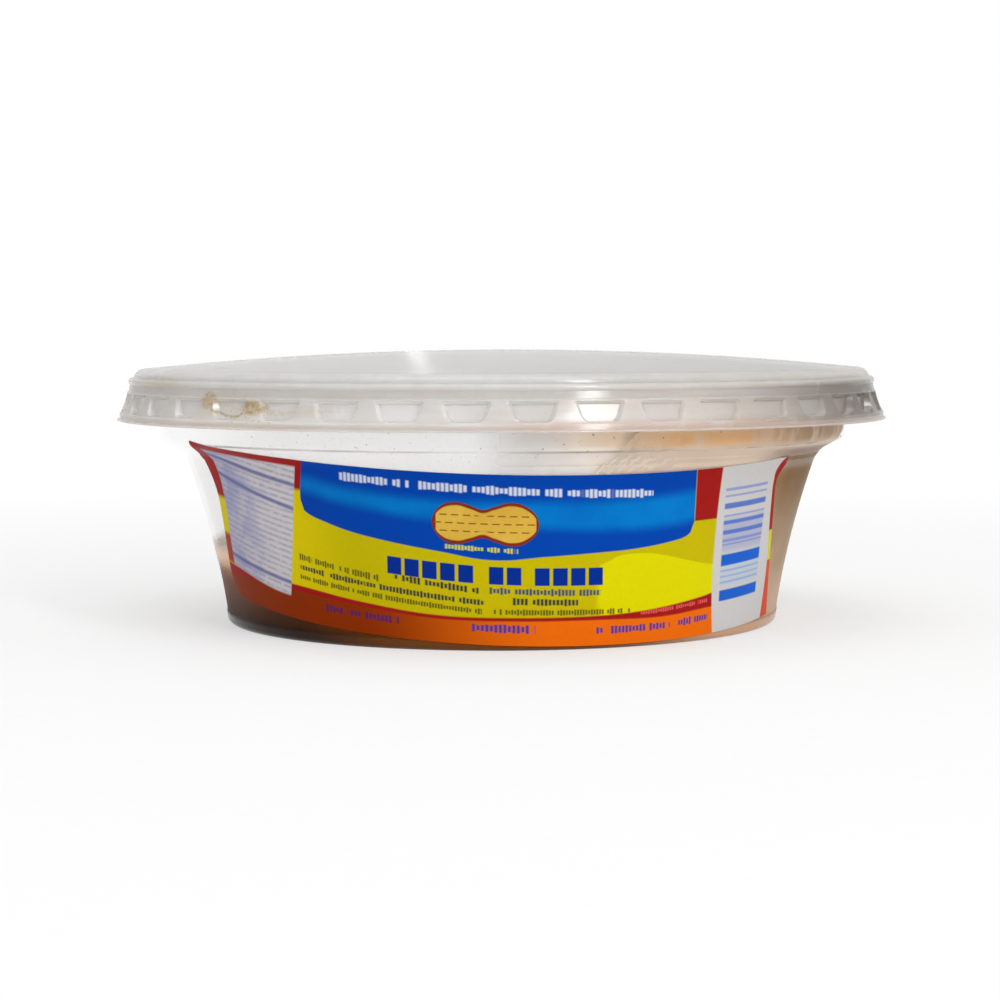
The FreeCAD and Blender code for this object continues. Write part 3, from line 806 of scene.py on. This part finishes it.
def label_print():
    """Unlettered printing: fields of colour, plain bars in place of small print, one motif."""
    f = Finish("label_print")
    source = f.tree.nodes.new("ShaderNodeUVMap")
    source.uv_map = "print"
    split = f.tree.nodes.new("ShaderNodeSeparateXYZ")
    f.tree.links.new(source.outputs[0], split.inputs[0])
    across = (Field(f.tree, split.outputs[0]) - 0.5) * PRINT_SPAN
    up = Field(f.tree, split.outputs[1])
    vector = f.place()[3]

    def along(points):
        """Share of the label's height, from (millimetres across, share) points."""
        return across.curve(points, -HALF_SPAN, HALF_SPAN)

    def beside(points):
        """Millimetres across, from (share of the label's height, millimetres) points."""
        shares = [(v, (x + HALF_SPAN) / PRINT_SPAN) for v, x in points]
        return up.curve(shares, 0, 1) * PRINT_SPAN - HALF_SPAN

    def bars(start, end, low, high, size, letter, tint, seed=None):
        """One row of small bars from start to end, its middle going from low to high.

        With a seed, the row has gaps between groups and bars of uneven height."""
        middle = (across - start) * ((high - low) / (end - start)) + low
        cell = (across - start) * (1 / letter)
        half = size / 2
        away = (up - middle).apply("ABSOLUTE")
        if seed is None:
            width = cell.apply("FRACT").inside(0.08, 0.9, 0.04)
            mask = away.ramp(half + 0.004, half - 0.004) * width
        else:
            number = cell.apply("FLOOR")
            uneven = noise_at(f.tree, number + seed) * (half * 0.4)
            kept = noise_at(f.tree, number + seed * 1.7).ramp(0.1, 0.14)
            thin = cell.apply("FRACT").inside(0.2, 0.8, 0.2) * 0.75 + 0.25
            mask = (away + uneven).ramp(half, half * 0.7) * thin * kept
        f.paint(mask * across.inside(start, end, 0.1), tint)

    grain = f.noise(vector, 2.2, 3.0, 0.7)
    crinkle = f.noise(vector, 0.16, 4.0, 0.55)
    red, violet = colour(162, 26, 24), colour(70, 60, 150)

    # ground, hill, the red line and the orange foot, with painted shade darkening the orange
    # towards the left
    f.look = colour(199, 184, 2)
    f.paint(across.ramp(-20, -32), colour(224, 204, 0))
    hill = across.ramp(12.8, 14.0) * (along(HILL) - up).ramp(-0.004, 0.006)
    f.paint(hill, colour(222, 215, 0))
    f.paint((along(RED_TOP) - up).ramp(-0.006, 0.006), red)
    foot = f.mix(across.ramp(-21, 7.5), colour(143, 49, 1), colour(237, 110, 10))
    f.paint((along(ORANGE_TOP) - up).ramp(-0.006, 0.006), foot)

    # rows of bars in place of small print
    dim, dark = colour(96, 92, 26), colour(48, 56, 52)
    for start, end, low, high, size, letter, tint in (
            (-31, -17.5, 0.40, 0.345, 0.052, 0.42, dim),
            (-15.2, -3.2, 0.366, 0.318, 0.052, 0.55, dark),
            (-31, -2.4, 0.335, 0.248, 0.047, 0.5, dark),
            (-31, -2.8, 0.275, 0.196, 0.042, 0.4, dim),
            (-1.8, 13.8, 0.322, 0.312, 0.05, 0.5, colour(60, 78, 104)),
            (1.4, 10.6, 0.262, 0.256, 0.052, 0.55, dark),
            (-1.2, 18.5, 0.198, 0.198, 0.044, 0.4, dim),
            (-27, -14.6, 0.115, 0.105, 0.057, 0.6, colour(92, 36, 96)),
            (-4.9, 4.6, 0.1, 0.098, 0.06, 0.62, violet),
            (13.2, 25, 0.088, 0.09, 0.056, 0.55, violet),
            (26.4, 32.1, 0.095, 0.105, 0.058, 0.5, violet),
            (20, 32, 0.175, 0.205, 0.032, 0.4, colour(222, 92, 92))):
        bars(start, end, low, high, size, letter, tint, seed=round(start * 7 + end))

    # a heading of plain blocks in three groups
    for start, count, pitch, low, high in ((-16.4, 5, 2.54, 0.435, 0.413),
                                           (-2.0, 2, 2.45, 0.411, 0.409),
                                           (4.3, 4, 2.53, 0.408, 0.408)):
        bars(start, start + count * pitch, low, high, 0.104, pitch, colour(4, 46, 146))

    # blue field with a lighter wave
    off_wave = ((up - along(WAVE)) * LABEL_HEIGHT).apply("ABSOLUTE")
    wave = (off_wave - across.ramp(-30, 26) * 1.1).ramp(2.1, 0.0)
    sea = f.mix(wave * (crinkle + 0.35), colour(0, 68, 173), colour(0, 124, 205))
    field = across.inside(-30.1, 28.75, 0.12) * (up - along(BLUE_LOW)).ramp(-0.005, 0.005)
    f.paint(field, sea)
    bars(-23.3, 21.6, 0.935, 0.882, 0.062, 0.62, colour(214, 222, 236), seed=120)
    bars(-7.9, 2.2, 0.572, 0.556, 0.038, 0.45, colour(205, 205, 70), seed=140)

    # motif: a plain nut in its shell, tan with a brown outline and netting
    off_middle = (up - SHELL_UP).apply("ABSOLUTE")
    shell = across.curve(SHELL, -11, 7) - off_middle
    f.paint(shell.ramp(0.001, 0.009), colour(132, 48, 20))
    filling = (shell - 0.024).ramp(-0.004, 0.006) * across.inside(-9.1, 4.7, 0.1)
    f.paint(filling, f.mix(crinkle, colour(232, 196, 84), colour(206, 158, 52)))
    ridge = (up - SHELL_UP) * (LABEL_HEIGHT / 1.15)
    dash = (across * 0.62 + ridge.apply("ROUND") * 0.5).apply("FRACT").inside(0.18, 0.82, 0.05)
    thread = (ridge + 0.5).apply("FRACT").inside(0.42, 0.58, 0.05) * dash
    f.paint(thread * (shell - 0.04).ramp(0.0, 0.01), colour(150, 88, 26))

    # left panel of faint rows, its red and yellow border
    left_edge, right_edge = beside(PANEL_LEFT), beside(PANEL_RIGHT)
    f.paint((right_edge - across).ramp(-0.1, 0.1) * up.ramp(0.88, 0.9), red)
    f.paint((right_edge + 1.1 - across).ramp(-0.1, 0.1) * up.ramp(0.8, 0.83), red)
    edge_side = (left_edge + 4.0 - across).ramp(-0.1, 0.1)
    f.paint(edge_side * up.ramp(0.62, 0.66), red)
    f.paint(edge_side * up.inside(0.2, 0.4, 0.02), colour(170, 64, 40))
    panel_top = up.ramp(0.965, 0.945)
    panel_low = (up - across.ramp(-49, -33) * -0.06).ramp(0.19, 0.21)
    panel = (across - left_edge).ramp(-0.2, 0.2) * (right_edge - across).ramp(-0.1, 0.1)
    panel = panel * panel_top * panel_low
    f.paint(panel, f.mix(across.ramp(-49, -37), colour(186, 183, 202), colour(214, 210, 212)))
    slope = up + across * 0.004
    rows = (slope * 27.0).apply("FRACT").inside(0.3, 0.7, 0.2)
    gaps = f.noise(f.stretched(vector, (0.9, 0.9, 1.8)), 1.0, 3.0, 0.6)
    f.paint(panel * rows * gaps.ramp(0.3, 0.55) * 0.6, colour(140, 142, 176))
    smudge = f.noise(vector, 0.22, 2.0, 0.5).ramp(0.45, 0.6)
    f.paint(panel * smudge * across.ramp(-35, -44) * 0.5, colour(146, 150, 198))
    for start, low, end, high in ((-46, 0.90, -31.5, 0.84), (-47, 0.79, -31.8, 0.69),
                                  (-47.5, 0.27, -32.8, 0.22)):
        middle = (across - start) * ((high - low) / (end - start)) + low
        line = (up - middle).inside(-0.012, 0.012, 0.01)
        f.paint(panel * line * 0.8, colour(92, 96, 158))

    # right panel of stacked bars, its red and yellow borders
    start, end = beside(WHITE_LEFT), beside(WHITE_RIGHT)
    right_block = across.ramp(28.7, 28.95) * (start - across).ramp(-0.15, 0.15)
    f.paint(right_block * up.ramp(0.69, 0.7), red)
    beyond = (across - end).ramp(-0.1, 0.1)
    f.paint(beyond * up.ramp(0.545, 0.555), red)
    f.paint(beyond * up.inside(0.36, 0.55, 0.006), colour(214, 206, 30))
    f.paint(beyond * up.ramp(0.362, 0.352), colour(214, 78, 44))
    panel = (across - start).ramp(-0.15, 0.15) * beyond.rest()
    f.paint(panel, colour(206, 204, 203))
    stack = panel * across.inside(34.5, 44.2, 0.15)
    faint, mid, strong = colour(150, 158, 205), colour(96, 122, 200), colour(28, 98, 205)
    for at, size, tint in (
            (0.86, 0.018, faint), (0.82, 0.012, faint), (0.76, 0.034, mid), (0.70, 0.012, faint),
            (0.66, 0.024, mid), (0.60, 0.026, mid), (0.55, 0.018, faint), (0.525, 0.01, faint),
            (0.43, 0.07, strong), (0.365, 0.012, faint), (0.33, 0.010, faint),
            (0.295, 0.012, faint), (0.215, 0.066, strong)):
        f.paint(stack * (up - at).inside(-size / 2, size / 2, 0.005), tint)
    f.paint(stack * (up - 0.58).inside(-0.1, 0.1, 0.03) * 0.35, mid)
    f.paint(stack * (up - 0.33).inside(-0.06, 0.06, 0.02) * 0.3, colour(150, 196, 230))

    f.paint(grain.ramp(0.2, 0.8) * 0.06, colour(40, 40, 40))
    f.put("Base Color", f.look)
    f.put("Roughness", crinkle * 0.2 + 0.28)
    f.put("Specular IOR Level", 0.03)
    f.bump(crinkle, 0.2, 0.5)
    return f.material


# ---- build ----
tub = turned("tub_shell", tub_profile(), tub_plastic())
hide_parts("tub")
make_lid(lid_plastic())
make_label(label_print(), label_paper())
make_paste(paste_look())


# ---- floor, light and camera; the stage is in metres ----
FLOOR_HALF = 12.0
FLOOR_DARK, FLOOR_PALE = (0.86, 0.86, 0.86, 1), (0.9, 0.9, 0.9, 1)
WORLD_LIGHT = 0.62
WORLD_MIRRORED = 0.8
AIM = Vector((0, 0, 0.03))
# name, turn and rise in degrees, distance, size and radiance
LIGHTS = [("key", 26.5, 29, 1.2, (0.14, 0.8), 17.0),
          ("top", -10, 75, 1.2, (1.0, 0.8), 1.6),
          ("streak", 182.6, 12, 1.3, (0.012, 0.5), 0.6)]
# fitted to the curves of the lid, the collar and the base in the photograph
CAMERA_LENS, CAMERA_SENSOR = 90.34, 36.0
CAMERA_PLACE = (-0.25 * MM, -388.3 * MM, 44.9 * MM)
CAMERA_DIP, CAMERA_ROLL = 3.94, -0.16


def camera_sees(tree, *others):
    """1 for the rays that show a background: straight from the camera, and those named."""
    path = tree.nodes.new("ShaderNodeLightPath")
    seen = Field(tree, path.outputs["Is Camera Ray"])
    for other in others:
        seen = seen.over(path.outputs[other])
    return seen


def make_floor():
    """Pale floor that fades into the white background and keeps the shadow near the object."""
    corners = [(x * FLOOR_HALF, y * FLOOR_HALF, 0) for x, y in ((-1, -1), (1, -1), (1, 1), (-1, 1))]
    mesh = bpy.data.meshes.new("floor")
    mesh.from_pydata(corners, [], [(0, 1, 2, 3)])
    f = Finish("floor_paint", FLOOR_DARK)
    x, y, _, vector = f.place()
    away = (x * x + y * y).apply("SQRT")
    seen = camera_sees(f.tree, "Is Glossy Ray", "Is Transmission Ray")
    share = seen * (away.ramp(90, 330) * 0.45 + 0.55)
    f.paint(f.noise(vector, 0.4), FLOOR_PALE)
    f.put("Base Color", f.look)
    f.put("Roughness", 0.9)
    glow = f.tree.nodes.new("ShaderNodeEmission")
    blend = f.tree.nodes.new("ShaderNodeMixShader")
    f.tree.links.new(share.socket, blend.inputs[0])
    f.tree.links.new(f.shader.outputs[0], blend.inputs[1])
    f.tree.links.new(glow.outputs[0], blend.inputs[2])
    f.tree.links.new(blend.outputs[0], f.tree.nodes["Material Output"].inputs["Surface"])
    mesh.materials.append(f.material)
    floor = bpy.data.objects.new("floor", mesh)
    bpy.context.scene.collection.objects.link(floor)


def area_light(name, turn, rise, distance, size, radiance):
    """Soft box at an angle round the object and an angle above it, facing the object."""
    light = bpy.data.lights.new(name, "AREA")
    light.shape = "RECTANGLE"
    light.size, light.size_y = size
    light.energy = radiance * math.pi * size[0] * size[1]
    lamp = bpy.data.objects.new(name, light)
    around, above = math.radians(turn), math.radians(rise)
    towards = Vector((math.sin(around) * math.cos(above), -math.cos(around) * math.cos(above),
                      math.sin(above)))
    lamp.location = towards * distance + AIM
    lamp.rotation_euler = towards.to_track_quat("Z", "Y").to_euler()
    bpy.context.scene.collection.objects.link(lamp)


def make_world():
    """White behind the object, dimmer where it lights the surfaces or shows in their gloss."""
    world = bpy.data.worlds.new("studio")
    bpy.context.scene.world = world
    world.use_nodes = True
    back = world.node_tree.nodes["Background"]
    back.inputs["Color"].default_value = (1, 1, 1, 1)
    seen = camera_sees(world.node_tree, "Is Transmission Ray")
    path = world.node_tree.nodes.new("ShaderNodeLightPath")
    gloss = Field(world.node_tree, path.outputs["Is Glossy Ray"]) * WORLD_MIRRORED
    level = (seen * (1 - WORLD_LIGHT) + WORLD_LIGHT).over(gloss)
    world.node_tree.links.new(level.socket, back.inputs["Strength"])


def make_camera():
    data = bpy.data.cameras.new("camera")
    data.lens = CAMERA_LENS
    data.sensor_width = CAMERA_SENSOR
    camera = bpy.data.objects.new("camera", data)
    camera.location = CAMERA_PLACE
    tilt = Matrix.Rotation(math.radians(90 - CAMERA_DIP), 4, "X")
    roll = Matrix.Rotation(math.radians(CAMERA_ROLL), 4, "Z")
    camera.rotation_euler = (tilt @ roll).to_euler()
    bpy.context.scene.collection.objects.link(camera)
    bpy.context.scene.camera = camera


make_floor()
make_world()
make_camera()
for lamp in LIGHTS:
    area_light(*lamp)
bpy.context.scene.view_settings.view_transform = "Standard"
